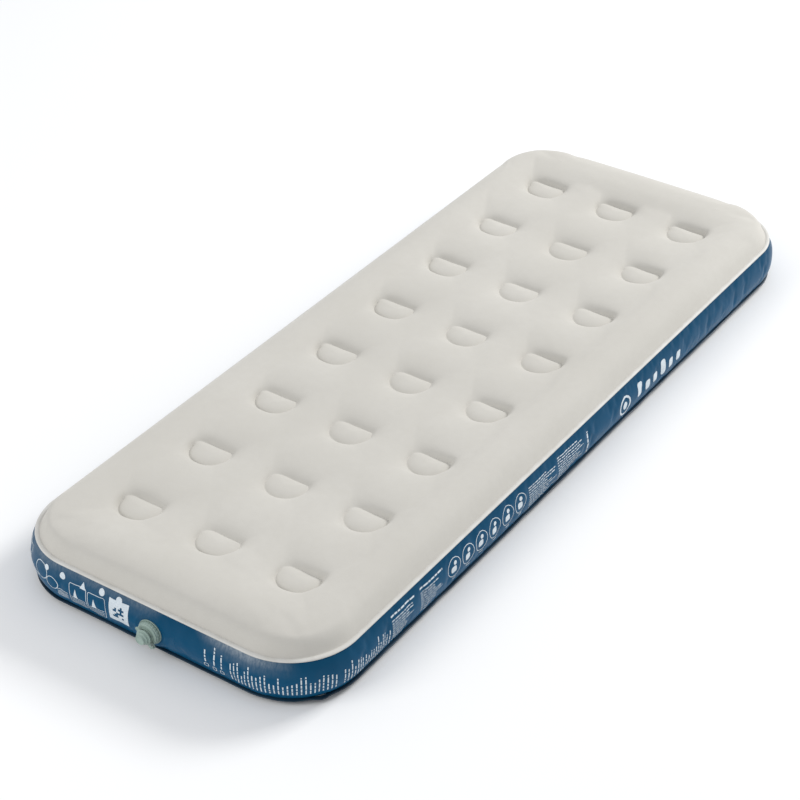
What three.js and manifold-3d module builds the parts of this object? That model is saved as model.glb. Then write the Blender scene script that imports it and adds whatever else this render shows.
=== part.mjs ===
// Single air mattress with a flocked top, round coil beams inside and a screw-on valve in one short side.
// Millimetres. +Z is up, +Y runs along the length away from the valve, the origin is on the floor at the
// middle of the mattress.
import * as THREE from 'three';
import { mergeVertices } from 'three/addons/utils/BufferGeometryUtils.js';
import Module from 'manifold-3d';

const wasm = await Module();
wasm.setup();

// ---- driving dimensions -------------------------------------------------------------------------------
const SEAM_LENGTH = 1875;         // outline of the two perimeter welds
const SEAM_WIDTH = 708;
const CORNER_R = 137;
const CORNER_STEPS = 6;
const SHEET = 1;                  // wall thickness drawn for every skin
const GAP = 0.3;                  // air left between two pieces that are welded or touch

const BOTTOM_WELD_Z = 12;         // where the bottom sheet meets the side band
const TOP_WELD_Z = 99;            // where the top sheet meets the side band
const BULGE = 12;                 // how far the band swells past the welds
const CREST_Z = 136;              // highest line of the sleeping surface
const TOP_DISC_Z = 117;           // top sheet over a coil beam
const BOTTOM_DISC_Z = 6;          // bottom sheet under a coil beam
const TOP_LIP = 5.5;              // weld lips standing out past the outline
const BOTTOM_LIP = 8.3;

const COLUMNS = 3;                // coil beams across
const ROWS = 8;                   // coil beams along
const PITCH_X = 187;
const PITCH_Y = 212;
const COIL_R = 42.5;
const DISC_R = 44;                // round weld pressed into each sheet
const CHORD = 0.48;               // the flat of the D-shaped coil lies this share of its radius from the middle
const VENT_R = 6;
const CREST_FLAT = 0.8;           // beyond this share of a cell the sheet is level

const VALVE_X = 5;
const VALVE_Z = 52;
const PANEL_HALF = 60;            // half the length of the stretch of band that holds the valve
const ROUND = 24;                 // sides of the valve's turned parts
const THREAD_PITCH = 4;
const BOSS_R = 17;                // threaded boss of the valve base
const BORE_R = 18.6;              // bore of the screw collar
const NOZZLE_R = 9;               // inflation opening
const COLLAR_FACE = 12.5;         // outer face of the collar, from the wall
const NOZZLE_END = 19;

// ---- materials ----------------------------------------------------------------------------------------
const finish = (color, roughness) => new THREE.MeshStandardMaterial({ color, roughness, metalness: 0 });
const FLOCK = finish(0xded9cf, 0.95);
const LIP = finish(0xe3dfd3, 0.6);
const BLUE = finish(0x1f5078, 0.4);
const NAVY = finish(0x151b26, 0.5);
const INNER = finish(0x2c4258, 0.5);
const VALVE_PLASTIC = finish(0xb2c3b9, 0.45);
const RUBBER = finish(0x8fa096, 0.8);

const mattress = new THREE.Group();

function add(name, geometry, material, parent = mattress) {
  const mesh = new THREE.Mesh(geometry, material);
  mesh.name = name;
  parent.add(mesh);
}

// ---- meshes and solids --------------------------------------------------------------------------------
function meshOf(points, triangles) {
  const geometry = new THREE.BufferGeometry();
  geometry.setAttribute('position', new THREE.Float32BufferAttribute(points.flat(), 3));
  geometry.setIndex(triangles.flat());
  return geometry;
}

function solid(geometry) {
  const bare = geometry.clone();
  bare.deleteAttribute('normal');
  bare.deleteAttribute('uv');
  const merged = mergeVertices(bare, 1e-3);
  return new wasm.Manifold(new wasm.Mesh({
    numProp: 3,
    vertProperties: new Float32Array(merged.attributes.position.array),
    triVerts: new Uint32Array(merged.index.array),
  }));
}

function geometryOf(body) {
  const mesh = body.getMesh();
  const geometry = new THREE.BufferGeometry();
  geometry.setAttribute('position', new THREE.BufferAttribute(mesh.vertProperties, 3));
  geometry.setIndex(new THREE.BufferAttribute(mesh.triVerts, 1));
  return geometry;
}

const joined = (...geometries) => geometries.map(solid).reduce((whole, piece) => whole.add(piece));

// ---- outline of the mattress --------------------------------------------------------------------------
// Rounded rectangle, anticlockwise from above, moved out by outset.
function outline(outset) {
  const points = [];
  const middle = [SEAM_WIDTH / 2 - CORNER_R, SEAM_LENGTH / 2 - CORNER_R];
  const corners = [[1, -1], [1, 1], [-1, 1], [-1, -1]];
  corners.forEach(([sx, sy], corner) => {
    for (let step = 0; step <= CORNER_STEPS; step++) {
      const angle = Math.PI / 2 * (corner - 1 + step / CORNER_STEPS);
      points.push([
        sx * middle[0] + (CORNER_R + outset) * Math.cos(angle),
        sy * middle[1] + (CORNER_R + outset) * Math.sin(angle),
      ]);
    }
  });
  return points;
}

// Ring all round the mattress. The section lists [outset, z], anticlockwise with outset to the right.
function ringAround(section) {
  const points = [];
  const triangles = [];
  const around = outline(0).length;
  section.forEach(([outset, z], s) => {
    outline(outset).forEach(([x, y]) => points.push([x, y, z]));
    const here = s * around;
    const next = ((s + 1) % section.length) * around;
    for (let i = 0; i < around; i++) {
      const j = (i + 1) % around;
      triangles.push([here + i, here + j, next + j], [here + i, next + j, next + i]);
    }
  });
  return meshOf(points, triangles);
}

// ---- quilted sheets -----------------------------------------------------------------------------------
const weldCentres = [];
for (let row = 0; row < ROWS; row++) {
  for (let column = 0; column < COLUMNS; column++) {
    weldCentres.push({
      x: (column - (COLUMNS - 1) / 2) * PITCH_X,
      y: (row - (ROWS - 1) / 2) * PITCH_Y,
      name: `coil_beam_row${row + 1}_col${column + 1}`,
    });
  }
}

// Edge of the block of cells, anticlockwise from above, with a point at each cell corner and half side.
function blockEdge() {
  const [halfX, halfY] = [COLUMNS * PITCH_X / 2, ROWS * PITCH_Y / 2];
  const points = [];
  for (let i = 0; i < 2 * COLUMNS; i++) points.push([-halfX + i * PITCH_X / 2, -halfY]);
  for (let i = 0; i < 2 * ROWS; i++) points.push([halfX, -halfY + i * PITCH_Y / 2]);
  for (let i = 0; i < 2 * COLUMNS; i++) points.push([halfX - i * PITCH_X / 2, halfY]);
  for (let i = 0; i < 2 * ROWS; i++) points.push([-halfX, halfY - i * PITCH_Y / 2]);
  return points;
}

// One skin: a cell round each coil beam, dished from level to disc, and a border that follows
// border, a list of [inset, z] from the perimeter weld inwards. The wall is SHEET thick, above the
// given heights or below them.
function quiltedSheet(disc, level, border, above) {
  const points = [];
  const triangles = [];
  const known = new Map();

  function point(x, y, z) {
    const key = `${x.toFixed(3)} ${y.toFixed(3)}`;
    if (!known.has(key)) {
      known.set(key, points.length);
      points.push([x, y, z]);
    }
    return known.get(key);
  }

  function band(outer, inner) {
    outer.forEach((_, k) => {
      const n = (k + 1) % outer.length;
      triangles.push([outer[k], outer[n], inner[n]], [outer[k], inner[n], inner[k]]);
    });
  }

  const sides = [[1, 0], [1, 1], [0, 1], [-1, 1], [-1, 0], [-1, -1], [0, -1], [1, -1]];
  for (const { x, y } of weldCentres) {
    const cell = (share) => sides.map(
      ([i, j]) => point(x + i * share * PITCH_X / 2, y + j * share * PITCH_Y / 2, level));
    const weld = sides.map((_, k) => {
      const angle = k * Math.PI / 4;
      return point(x + DISC_R * Math.cos(angle), y + DISC_R * Math.sin(angle), disc);
    });
    const flat = cell(CREST_FLAT);
    band(cell(1), flat);
    band(flat, weld);
    const middle = point(x, y, disc);
    weld.forEach((corner, k) => triangles.push([corner, weld[(k + 1) % weld.length], middle]));
  }

  const rings = border.map(([inset, z]) => outline(-inset).map(([x, y]) => point(x, y, z)));
  for (let ring = 0; ring + 1 < rings.length; ring++) band(rings[ring], rings[ring + 1]);
  zip(rings.at(-1), blockEdge().map(([x, y]) => point(x, y, level)));

  // Fills between two loops with unlike numbers of points, always along the shorter diagonal.
  function zip(outer, inner) {
    const apart = (a, b) => Math.hypot(points[a][0] - points[b][0], points[a][1] - points[b][1]);
    const nearest = inner.reduce((best, p, k) => apart(p, outer[0]) < apart(inner[best], outer[0]) ? k : best, 0);
    const at = (loop, k, shift = 0) => loop[(k + shift) % loop.length];
    let [i, j] = [0, 0];
    while (i < outer.length || j < inner.length) {
      const [a, aNext] = [at(outer, i), at(outer, i + 1)];
      const [b, bNext] = [at(inner, j, nearest), at(inner, j + 1, nearest)];
      const outerMoves = j === inner.length || (i < outer.length && apart(aNext, b) < apart(a, bNext));
      triangles.push(outerMoves ? [a, aNext, b] : [a, bNext, b]);
      if (outerMoves) i++;
      else j++;
    }
  }

  const count = points.length;
  const [low, high] = above ? [0, SHEET] : [-SHEET, 0];
  const body = [...points.map(([x, y, z]) => [x, y, z + high]), ...points.map(([x, y, z]) => [x, y, z + low])];
  const underside = triangles.map(([a, b, c]) => [a + count, c + count, b + count]);
  const rim = rings[0].flatMap((a, k) => {
    const b = rings[0][(k + 1) % rings[0].length];
    return [[a, a + count, b + count], [a, b + count, b]];
  });
  return meshOf(body, [...triangles, ...underside, ...rim]);
}

function addSheets() {
  const topBorder = [[0, TOP_WELD_Z + SHEET], [8, 113], [34, 133]];
  add('top_sheet', quiltedSheet(TOP_DISC_Z, CREST_Z, topBorder, false), FLOCK);
  const bottomBorder = [[0, BOTTOM_WELD_Z - SHEET], [10, 4], [34, 0.8]];
  add('bottom_sheet', quiltedSheet(BOTTOM_DISC_Z, 0, bottomBorder, true), NAVY);
}

// ---- side band and weld lips --------------------------------------------------------------------------
function sideBand() {
  const low = BOTTOM_WELD_Z + GAP;
  const high = TOP_WELD_Z - GAP;
  const steps = 4;
  const outside = [];
  for (let step = 0; step <= steps; step++) {
    const share = step / steps;
    const swell = 4 * share * (1 - share);
    outside.push([-SHEET + (BULGE + SHEET) * swell, low + share * (high - low)]);
  }
  const inside = outside.map(([outset, z]) => [outset - SHEET, z]).reverse();
  return ringAround([...outside, ...inside]);
}

const lipRing = (width, low, high) => ringAround([[GAP, low], [width, low], [width, high], [GAP, high]]);

// The stretch of band that holds the valve is a piece of its own.
function addBandAndLips() {
  const band = solid(sideBand());
  const stretch = (half) => solid(new THREE.BoxGeometry(2 * half, 100, 200)
    .translate(VALVE_X, -SEAM_LENGTH / 2, VALVE_Z));
  const hole = solid(new THREE.CylinderGeometry(BOSS_R + 1, BOSS_R + 1, 60, ROUND)
    .translate(VALVE_X, -SEAM_LENGTH / 2, VALVE_Z));
  add('side_band', geometryOf(band.subtract(stretch(PANEL_HALF + GAP / 2))), BLUE);
  add('valve_panel', geometryOf(band.intersect(stretch(PANEL_HALF - GAP / 2)).subtract(hole)), BLUE);
  add('top_weld_lip', lipRing(TOP_LIP, TOP_WELD_Z - SHEET, TOP_WELD_Z + SHEET), LIP);
  add('bottom_weld_lip', lipRing(BOTTOM_LIP, BOTTOM_WELD_Z - SHEET, BOTTOM_WELD_Z + SHEET), NAVY);
}

// ---- coil beams ---------------------------------------------------------------------------------------
// A strip of PVC bent to a D and welded to both sheets, with a vent through it from side to side.
function coilBeam() {
  const start = Math.PI - Math.asin(CHORD);
  const end = 2 * Math.PI + Math.asin(CHORD);
  const wall = new THREE.Shape();
  wall.absarc(0, 0, COIL_R, start, end, false);
  const inside = new THREE.Path();
  inside.absarc(0, 0, COIL_R - SHEET, start + 0.045, end - 0.045, false);
  wall.holes.push(inside);
  const low = BOTTOM_DISC_Z + SHEET + GAP;
  const high = TOP_DISC_Z - SHEET - GAP;
  const tube = new THREE.ExtrudeGeometry(wall, { depth: high - low, bevelEnabled: false, curveSegments: 6 });
  tube.translate(0, 0, low);
  const vent = new THREE.CylinderGeometry(VENT_R, VENT_R, 3 * COIL_R, 6);
  vent.rotateZ(Math.PI / 2);
  vent.translate(0, 0, (low + high) / 2);
  return geometryOf(solid(tube).subtract(solid(vent)));
}

function addCoilBeams() {
  const beam = coilBeam();
  for (const { x, y, name } of weldCentres) {
    add(name, beam, INNER);
    mattress.children.at(-1).position.set(x, y, 0);
  }
}

// ---- valve --------------------------------------------------------------------------------------------
// Everything here is drawn with the valve's axis along +Y, zero at the outside of the wall and outwards
// positive, +X as in the mattress and -Z up. The group then stands it in the short side.
const turned = (profile) => new THREE.LatheGeometry(
  [...profile, profile[0]].map(([r, along]) => new THREE.Vector2(r, along)), ROUND);

const box = (x0, x1, y0, y1, z0, z1) => new THREE.BoxGeometry(x1 - x0, y1 - y0, z1 - z0)
  .translate((x0 + x1) / 2, (y0 + y1) / 2, (z0 + z1) / 2);

const rodAlongX = (radius, length, y, z) => new THREE.CylinderGeometry(radius, radius, length, 8)
  .rotateZ(Math.PI / 2).translate(0, y, z);

// Right-handed ridge of one turn, from radius root to radius crest.
function threadRidge(root, crest, start) {
  const [rootHalf, crestHalf] = [0.75, 0.4];
  const points = [];
  const triangles = [];
  for (let step = 0; step <= ROUND; step++) {
    const angle = 2 * Math.PI * step / ROUND;
    const along = start + THREAD_PITCH * step / ROUND;
    const section = [[root, -rootHalf], [crest, -crestHalf], [crest, crestHalf], [root, rootHalf]];
    section.forEach(([r, off]) => points.push([r * Math.sin(angle), along + off, r * Math.cos(angle)]));
    if (step === ROUND) break;
    for (let side = 0; side < 4; side++) {
      const [a, b] = [4 * step + side, 4 * step + (side + 1) % 4];
      triangles.push([a, a + 4, b + 4], [a, b + 4, b]);
    }
  }
  const last = 4 * ROUND;
  triangles.push([0, 1, 2], [0, 2, 3], [last, last + 2, last + 1], [last, last + 3, last + 2]);
  if (crest < root) triangles.forEach((corners) => corners.reverse());
  return meshOf(points, triangles);
}

function valveBase() {
  const ring = turned([
    [14, -7], [BOSS_R, -7], [BOSS_R, GAP], [25.5, GAP], [25.5, 2.6], [24, 2.6], [23.6, 1.7],
    [BOSS_R, 1.7], [BOSS_R, 8.4], [14, 8.4],
  ]);
  return geometryOf(joined(ring, threadRidge(BOSS_R - GAP, 18.2, 3.6)));
}

const PIN_Y = 9;                  // hinge pin of the one-way flap
const PIN_Z = -11.4;

function valveCollar() {
  const cup = turned([
    [BORE_R, 3], [22, 3], [22, 11.7], [21.2, COLLAR_FACE], [12, COLLAR_FACE], [12, NOZZLE_END],
    [NOZZLE_R, NOZZLE_END], [NOZZLE_R, 10.5], [BORE_R, 10.5],
  ]);
  const ribs = 24;
  const grip = new THREE.Shape();
  for (let corner = 0; corner < 4 * ribs; corner++) {
    const radius = corner % 4 < 2 ? 23.6 : 22.8;
    const angle = 2 * Math.PI * (corner + (corner % 2 ? 0.3 : 0)) / (4 * ribs);
    grip[corner ? 'lineTo' : 'moveTo'](radius * Math.cos(angle), radius * Math.sin(angle));
  }
  grip.holes.push(new THREE.Path().absarc(0, 0, 21, 0, 2 * Math.PI));
  const knurl = new THREE.ExtrudeGeometry(grip, { depth: 5, bevelEnabled: false, curveSegments: ROUND / 2 });
  knurl.rotateX(-Math.PI / 2);
  knurl.translate(0, 3, 0);
  const lugs = [-1, 1].map((side) => box(...[2.4 * side, 4.2 * side].sort((a, b) => a - b),
    7.8, 10.8, PIN_Z - 1.3, PIN_Z + 1.2));
  const body = joined(cup, knurl, threadRidge(BORE_R + GAP, 17.4, 3.6 + THREAD_PITCH / 2), ...lugs);
  return geometryOf(body.subtract(solid(rodAlongX(0.9, 20, PIN_Y, PIN_Z))));
}

const collarGasket = () => turned([[14.2, 8.7], [16.7, 8.7], [16.7, 10.2], [14.2, 10.2]]);

function valveFlap() {
  const disc = new THREE.CylinderGeometry(9.9, 9.9, 0.8, ROUND).translate(0, 9.6, 0);
  const tab = box(-2, 2, 9.2, 10, PIN_Z + 0.3, -8.5);
  const knuckle = rodAlongX(1.1, 4, PIN_Y, PIN_Z);
  return geometryOf(joined(disc, tab, knuckle).subtract(solid(rodAlongX(0.9, 8, PIN_Y, PIN_Z))));
}

function stopperCap() {
  const cap = turned([
    [0, 15.2], [8.2, 15.2], [8.6, 16], [8.6, NOZZLE_END + GAP], [16, NOZZLE_END + GAP], [16, 21],
    [12.5, 21.4], [12.5, 26], [10.3, 26.4], [9.8, 31.5], [0, 31.5],
  ]);
  const pullTab = box(14, 23, 19.5, 20.8, -4.5, 4.5).rotateY(Math.PI * 3 / 4);
  return geometryOf(joined(cap, pullTab));
}

// The strap is a ring round the nozzle and a loop that comes back to the stopper's rim.
function stopperStrap() {
  const ring = turned([[12.4, 12.9], [15.8, 12.9], [15.8, 14.4], [12.4, 14.4]]);
  const side = [
    [14.5, 12.9], [24, 12.9], [28.2, 17], [24, 21], [16.5, 21],
    [16.5, 19.6], [23.4, 19.6], [26.4, 17], [23.4, 14.4], [14.5, 14.4],
  ];
  const loop = new THREE.ExtrudeGeometry(new THREE.Shape(side.map(([x, y]) => new THREE.Vector2(x, y))),
    { depth: 7, bevelEnabled: false });
  loop.translate(0, 0, -3.5);
  loop.rotateY(-Math.PI / 4);
  return geometryOf(joined(ring, loop));
}

function addValve() {
  const valve = new THREE.Group();
  valve.position.set(VALVE_X, -SEAM_LENGTH / 2 - BULGE, VALVE_Z);
  valve.rotation.x = Math.PI;
  mattress.add(valve);
  add('valve_base', valveBase(), VALVE_PLASTIC, valve);
  add('collar_gasket', collarGasket(), RUBBER, valve);
  add('valve_collar', valveCollar(), VALVE_PLASTIC, valve);
  add('valve_flap', valveFlap(), RUBBER, valve);
  add('flap_pin', rodAlongX(0.55, 8.4, PIN_Y, PIN_Z), VALVE_PLASTIC, valve);
  add('stopper_cap', stopperCap(), VALVE_PLASTIC, valve);
  add('stopper_strap', stopperStrap(), VALVE_PLASTIC, valve);
}

addSheets();
addBandAndLips();
addCoilBeams();
addValve();

export default mattress;
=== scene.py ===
import math

import bmesh
import bpy
import numpy as np
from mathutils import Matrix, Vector
from mathutils.bvhtree import BVHTree


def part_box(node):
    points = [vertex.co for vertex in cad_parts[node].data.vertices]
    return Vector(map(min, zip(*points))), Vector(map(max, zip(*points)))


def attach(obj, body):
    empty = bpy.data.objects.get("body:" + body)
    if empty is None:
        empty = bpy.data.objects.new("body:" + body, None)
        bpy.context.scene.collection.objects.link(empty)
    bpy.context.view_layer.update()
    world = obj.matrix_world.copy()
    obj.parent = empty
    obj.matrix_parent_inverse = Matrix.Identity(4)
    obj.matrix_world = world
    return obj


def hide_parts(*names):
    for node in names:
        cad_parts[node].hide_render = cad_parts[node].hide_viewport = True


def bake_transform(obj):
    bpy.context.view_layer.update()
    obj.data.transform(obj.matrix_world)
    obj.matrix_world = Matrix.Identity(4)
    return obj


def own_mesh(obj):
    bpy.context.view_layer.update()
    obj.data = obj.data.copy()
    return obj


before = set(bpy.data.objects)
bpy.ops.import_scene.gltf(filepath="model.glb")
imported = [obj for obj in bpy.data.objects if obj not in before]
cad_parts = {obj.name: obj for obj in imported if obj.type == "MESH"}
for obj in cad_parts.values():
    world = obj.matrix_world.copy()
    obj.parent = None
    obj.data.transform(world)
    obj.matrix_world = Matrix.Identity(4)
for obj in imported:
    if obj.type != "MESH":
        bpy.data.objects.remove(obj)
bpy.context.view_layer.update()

# ---- places and sizes, in metres, read from the frame ---------------------------------------------------
sheet_low, sheet_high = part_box("top_sheet")
flange_low, flange_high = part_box("valve_base")
beam_low, beam_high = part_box("coil_beam_row1_col1")

HALF_X, HALF_Y = sheet_high.x, sheet_high.y      # outline of the perimeter welds
CORNER_R = 0.137
HALF_SHEET = 0.0005                              # half the thickness that the CAD draws a sheet with
SEAM_TOP = sheet_low.z + HALF_SHEET
SEAM_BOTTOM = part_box("bottom_sheet")[1].z
CREST = sheet_high.z
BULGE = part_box("side_band")[1].x - HALF_X
WELD_R = 0.0436
CHORD = 0.48                                     # the weld's flat, as a share of its radius
DISC_GAP = 0.0013                                # from a beam's end to the outer face of the sheet on it
TOP_DISC = beam_high.z + DISC_GAP
BOTTOM_DISC = beam_low.z - DISC_GAP
VALVE = Vector(((flange_low.x + flange_high.x) / 2, -HALF_Y - BULGE, (flange_low.z + flange_high.z) / 2))

coil_nodes = sorted(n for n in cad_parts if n.startswith("coil_beam"))
ROWS, COLUMNS = (max(int(n.split(word)[1][0]) for n in coil_nodes) for word in ("row", "col"))
PITCH_X = round(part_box("coil_beam_row1_col2")[0].x - beam_low.x, 4)
PITCH_Y = round(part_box("coil_beam_row2_col1")[0].y - beam_low.y, 4)
BLOCK_X = COLUMNS * PITCH_X / 2
BLOCK_Y = ROWS * PITCH_Y / 2
WELDS = {f"coil_beam_row{row}_col{column}": ((column - (COLUMNS + 1) / 2) * PITCH_X,
                                             (row - (ROWS + 1) / 2) * PITCH_Y)
         for row in range(1, ROWS + 1) for column in range(1, COLUMNS + 1)}

# ---- camera ---------------------------------------------------------------------------------------------
CAMERA_AZIMUTH, CAMERA_ELEVATION = 34.36, 34.99    # degrees
CAMERA_AIM = Vector((0.0099, -0.1589, 0.1067))
CAMERA_DISTANCE = 4.298
CAMERA_LENS = 94.6                                 # millimetres, on a 36 mm sensor

def add_camera():
    camera = bpy.data.objects.new("camera", bpy.data.cameras.new("camera"))
    bpy.context.scene.collection.objects.link(camera)
    azimuth, elevation = math.radians(CAMERA_AZIMUTH), math.radians(CAMERA_ELEVATION)
    away = Vector((math.sin(azimuth) * math.cos(elevation), -math.cos(azimuth) * math.cos(elevation),
                   math.sin(elevation)))
    camera.location = CAMERA_AIM + away * CAMERA_DISTANCE
    camera.rotation_mode = "QUATERNION"
    camera.rotation_quaternion = (-away).to_track_quat("-Z", "Y")
    camera.data.sensor_width = 36
    camera.data.lens = CAMERA_LENS
    camera.data.clip_end = 100
    bpy.context.scene.camera = camera

# ---- meshes ---------------------------------------------------------------------------------------------
def mesh_object(name, points, faces, material):
    mesh = bpy.data.meshes.new(name)
    mesh.from_pydata([tuple(p) for p in points], [], [tuple(int(i) for i in f) for f in faces])
    mesh.validate()
    mesh.shade_smooth()
    mesh.materials.append(material)
    made = bpy.data.objects.new(name, mesh)
    bpy.context.scene.collection.objects.link(made)
    return made

def tube_faces(rings, count, closed=False):
    """Quads between neighbouring rings of count points each. closed joins the last ring to the first."""
    faces = []
    for ring in range(rings if closed else rings - 1):
        here, there = ring * count, (ring + 1) % rings * count
        faces += [(here + i, here + (i + 1) % count, there + (i + 1) % count, there + i)
                  for i in range(count)]
    return faces

def bend(start, corner, end, t):
    """Easy curve from start to end, drawn towards corner; t goes from 0 to 1 along it."""
    return start * (1 - t) ** 2 + corner * 2 * t * (1 - t) + end * t ** 2

def eased(t):
    """0 to 1 with level ends."""
    return t * t * (3 - 2 * t)

def subdivide(piece):
    modifier = piece.modifiers.new("subdivision", "SUBSURF")
    modifier.levels = 1
    modifier.render_levels = 1

def apply_modifiers(piece):
    """The piece's evaluated mesh becomes its own mesh."""
    graph = bpy.context.evaluated_depsgraph_get()
    final = bpy.data.meshes.new_from_object(piece.evaluated_get(graph))
    piece.modifiers.clear()
    piece.data = final
    piece.data.name = piece.name

def coordinates(piece):
    points = np.empty(len(piece.data.vertices) * 3)
    piece.data.vertices.foreach_get("co", points)
    return points.reshape(-1, 3)

def set_coordinates(piece, points):
    piece.data.vertices.foreach_set("co", np.asarray(points, float).ravel())
    piece.data.update()

# ---- the outline ----------------------------------------------------------------------------------------
STRAIGHT_X = 2 * (HALF_X - CORNER_R)
STRAIGHT_Y = 2 * (HALF_Y - CORNER_R)
ARC = math.pi / 2 * CORNER_R
AROUND = 2 * (STRAIGHT_X + STRAIGHT_Y) + 4 * ARC

def outline(s, outset=0.0):
    """Point and outward normal on the rounded outline, s metres anticlockwise from the -Y side's middle."""
    s = np.mod(np.asarray(s, float) + STRAIGHT_X / 2, AROUND)
    point = np.zeros(s.shape + (2,))
    normal = np.zeros(s.shape + (2,))
    start = 0.0
    sides = [(0, -1, STRAIGHT_X), (1, 0, STRAIGHT_Y), (0, 1, STRAIGHT_X), (-1, 0, STRAIGHT_Y)]
    for turn, (nx, ny, length) in enumerate(sides):
        on = (s >= start) & (s < start + length)
        along = s[on] - start - length / 2
        tx, ty = -ny, nx
        reach = (HALF_Y if ny else HALF_X) + outset
        point[on] = np.stack([nx * reach + tx * along, ny * reach + ty * along], -1)
        normal[on] = (nx, ny)
        start += length
        on = (s >= start) & (s < start + ARC + (1e-9 if turn == 3 else 0))
        angle = math.atan2(ny, nx) + (s[on] - start) / CORNER_R
        cx = math.copysign(HALF_X - CORNER_R, nx + tx)
        cy = math.copysign(HALF_Y - CORNER_R, ny + ty)
        direction = np.stack([np.cos(angle), np.sin(angle)], -1)
        point[on] = np.array([cx, cy]) + (CORNER_R + outset) * direction
        normal[on] = direction
        start += ARC
    return point, normal

# ---- quilted sheets -------------------------------------------------------------------------------------
PER_SIDE = 16                    # steps along one side of a weld's cell
CELL_RINGS = 11                  # rings from the weld out to the edge of its cell
DOME_RINGS = (0.965, 0.9, 0.79, 0.62, 0.4, 0.18)    # rings inside a weld, as shares of its size
BORDER_INSETS = (0.0, 0.003, 0.008, 0.015, 0.025)
BORDER_RINGS = 6                 # rings from the last inset to the block of cells
LIP_RINGS = 3                    # border rings that lie flat under the weld lip
WELD_PULL = 3e6                  # spring of a weld that isn't held fast, per square metre
BORDER_LIFT = 3.5                # extra fullness along the border, as a share of that between the welds
BORDER_WIDTH = 0.15              # the extra fullness ends this far inside the outline
BORDER_FADE = 0.08               # and reaches its full amount this much nearer to it
DOME_LIFT = 3.4                  # fullness inside a weld
STEEPNESS = 0.0021               # the smaller, the more steeply the sheet leaves its welds

def cell_ring():
    """The edge of a cell about its own middle, anticlockwise from the -X -Y corner."""
    step = np.arange(PER_SIDE) / PER_SIDE * 2 - 1
    one = np.ones(PER_SIDE)
    x = np.concatenate([step, one, -step, -one]) * PITCH_X / 2
    y = np.concatenate([-one, step, one, -step]) * PITCH_Y / 2
    return np.stack([x, y], -1)

def weld_ring():
    """The D of a weld, with as many points as cell_ring: its flat faces the cell's +Y side and turns
    down in an easy curve at its -X end."""
    arc = np.linspace(math.radians(170), 2 * math.pi + math.asin(CHORD), 3 * PER_SIDE + 1)
    arc = np.stack([np.cos(arc), np.sin(arc)], -1)
    flat_end, shoulder = np.array([-0.3, CHORD]), np.array([-0.86, CHORD])
    curve = bend(flat_end, shoulder, arc[0], np.linspace(0, 1, 20)[:, None])
    flat = even_steps(np.concatenate([arc[-1:], curve]), PER_SIDE)[1:-1]
    ring = np.concatenate([arc, flat]) * WELD_R   # starts at the curve's lower end
    return np.roll(ring, -PER_SIDE, axis=0)       # starts on the arc, towards the -X -Y corner

def even_steps(line, steps):
    """The line's points, spread evenly over its length."""
    reach = np.concatenate([[0], np.cumsum(np.linalg.norm(np.diff(line, axis=0), axis=1))])
    at = np.linspace(0, reach[-1], steps + 1)
    return np.stack([np.interp(at, reach, line[:, axis]) for axis in (0, 1)], -1)

def quilt():
    """Flat mesh of a sheet: points, faces, and for each point a tag: (kind, cell, ring, place)."""
    points, tags, faces, known = [], [], [], {}

    def add(xy, tag):
        key = (round(xy[0], 5), round(xy[1], 5))
        if key not in known:
            known[key] = len(points)
            points.append(xy)
            tags.append(tag)
        return known[key]

    def bridge(outer, inner):
        for k in range(len(outer)):
            n = (k + 1) % len(outer)
            faces.append((outer[k], outer[n], inner[n], inner[k]))

    edge, weld = cell_ring(), weld_ring()
    middle = np.array([0.0, -0.1 * WELD_R])
    for cell, (cx, cy) in enumerate(WELDS.values()):
        centre = np.array([cx, cy])
        rings = []
        for ring in range(CELL_RINGS, -1, -1):
            t = (ring / CELL_RINGS) ** 1.5
            rings.append([add(centre + p, ("cell", cell, ring, k))
                          for k, p in enumerate(weld * (1 - t) + edge * t)])
        for depth, share in enumerate(DOME_RINGS):
            rings.append([add(centre + middle + (p - middle) * share, ("dome", cell, depth, k))
                          for k, p in enumerate(weld)])
        for outer, inner in zip(rings, rings[1:]):
            bridge(outer, inner)
        hub = add(centre + middle, ("dome", cell, len(DOME_RINGS), 0))
        last = rings[-1]
        for k in range(0, len(last), 2):
            faces.append((last[k], last[(k + 1) % len(last)], last[(k + 2) % len(last)], hub))

    block = block_ring()
    inner = [add(p, ("block", 0, 0, k)) for k, p in enumerate(block)]
    stations = border_stations()
    border = [outline(stations, -inset)[0] for inset in BORDER_INSETS]
    last_inset = border[-1]
    for ring in range(1, BORDER_RINGS):
        t = (ring / BORDER_RINGS) ** 1.15
        border.append(last_inset * (1 - t) + block * t)
    loops = [[add(p, ("border", 0, ring, k)) for k, p in enumerate(loop)]
             for ring, loop in enumerate(border)]
    for outer, inside in zip(loops, loops[1:] + [inner]):
        bridge(outer, inside)
    return np.array(points), faces, tags

def block_ring():
    """The edge of the whole block of cells, anticlockwise from its -X -Y corner."""
    nx, ny = COLUMNS * PER_SIDE, ROWS * PER_SIDE
    sx, sy = np.arange(nx) / nx * 2 - 1, np.arange(ny) / ny * 2 - 1
    x = np.concatenate([sx, np.ones(ny), -sx, -np.ones(ny)]) * BLOCK_X
    y = np.concatenate([-np.ones(nx), sy, np.ones(nx), -sy]) * BLOCK_Y
    return np.stack([x, y], -1)

def border_stations():
    """For each point of block_ring, its place along the outline: corner to corner in even steps."""
    nx, ny = COLUMNS * PER_SIDE, ROWS * PER_SIDE
    corner_x = STRAIGHT_X / 2 + ARC / 2
    long_side = STRAIGHT_Y + ARC
    starts = [-corner_x, corner_x, corner_x + long_side, 3 * corner_x + long_side]
    spans = [2 * corner_x, long_side, 2 * corner_x, long_side]
    return np.concatenate([start + span * np.arange(n) / n
                           for start, span, n in zip(starts, spans, (nx, ny, nx, ny))])

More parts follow.
